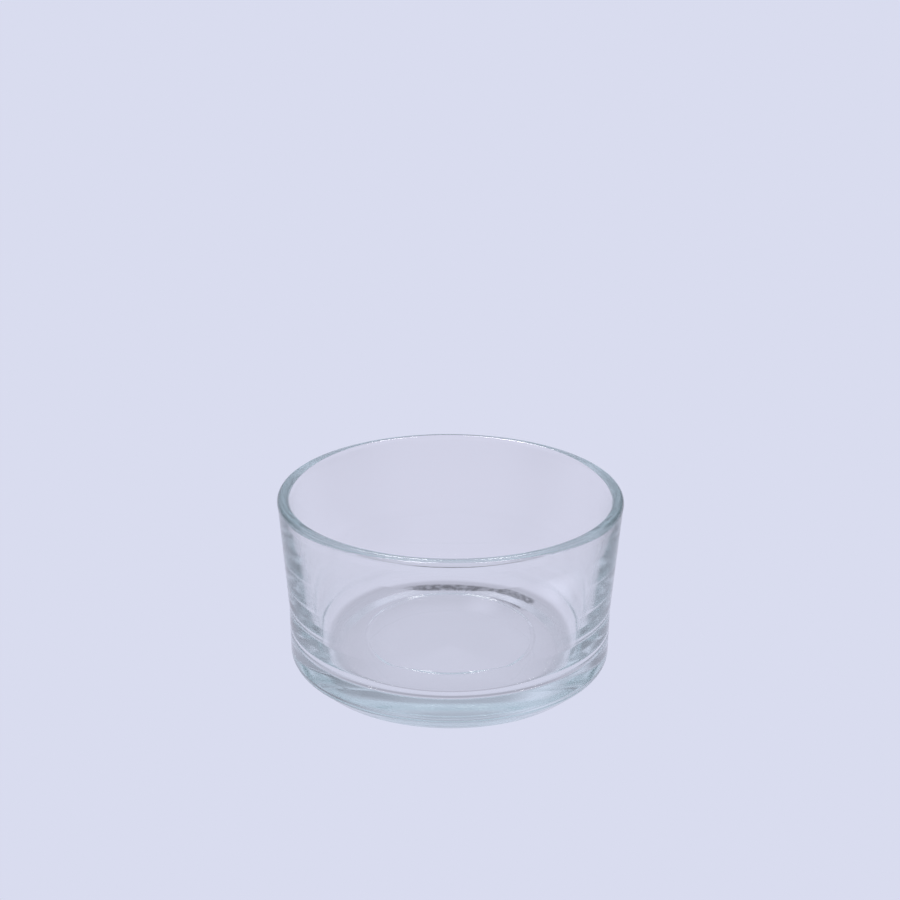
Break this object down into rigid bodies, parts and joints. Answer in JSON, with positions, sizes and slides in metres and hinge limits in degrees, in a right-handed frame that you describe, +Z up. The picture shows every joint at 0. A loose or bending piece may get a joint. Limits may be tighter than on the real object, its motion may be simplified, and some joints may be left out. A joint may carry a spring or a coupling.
{
  "type": "floating candle bowl",
  "caption": "Round bowl of clear pressed glass with a flaring wall, a rounded rim and a thick flat base, for water with floating candles.",
  "frame": {"origin": "centre of the foot's underside, on the surface that the bowl stands on", "axes": "+Z up along the bowl's axis, from the foot to the rim; X and Y are alike, because the bowl is turned about Z"},
  "size_m": [0.12, 0.12, 0.0661],
  "materials": {
    "clear_glass": "clear pressed soda-lime glass, fire polished, with a faint blue-green tint in the thick base"
  },
  "bodies": {
    "root": {"glass_bowl": "clear_glass"}
  },
  "joints": []
}
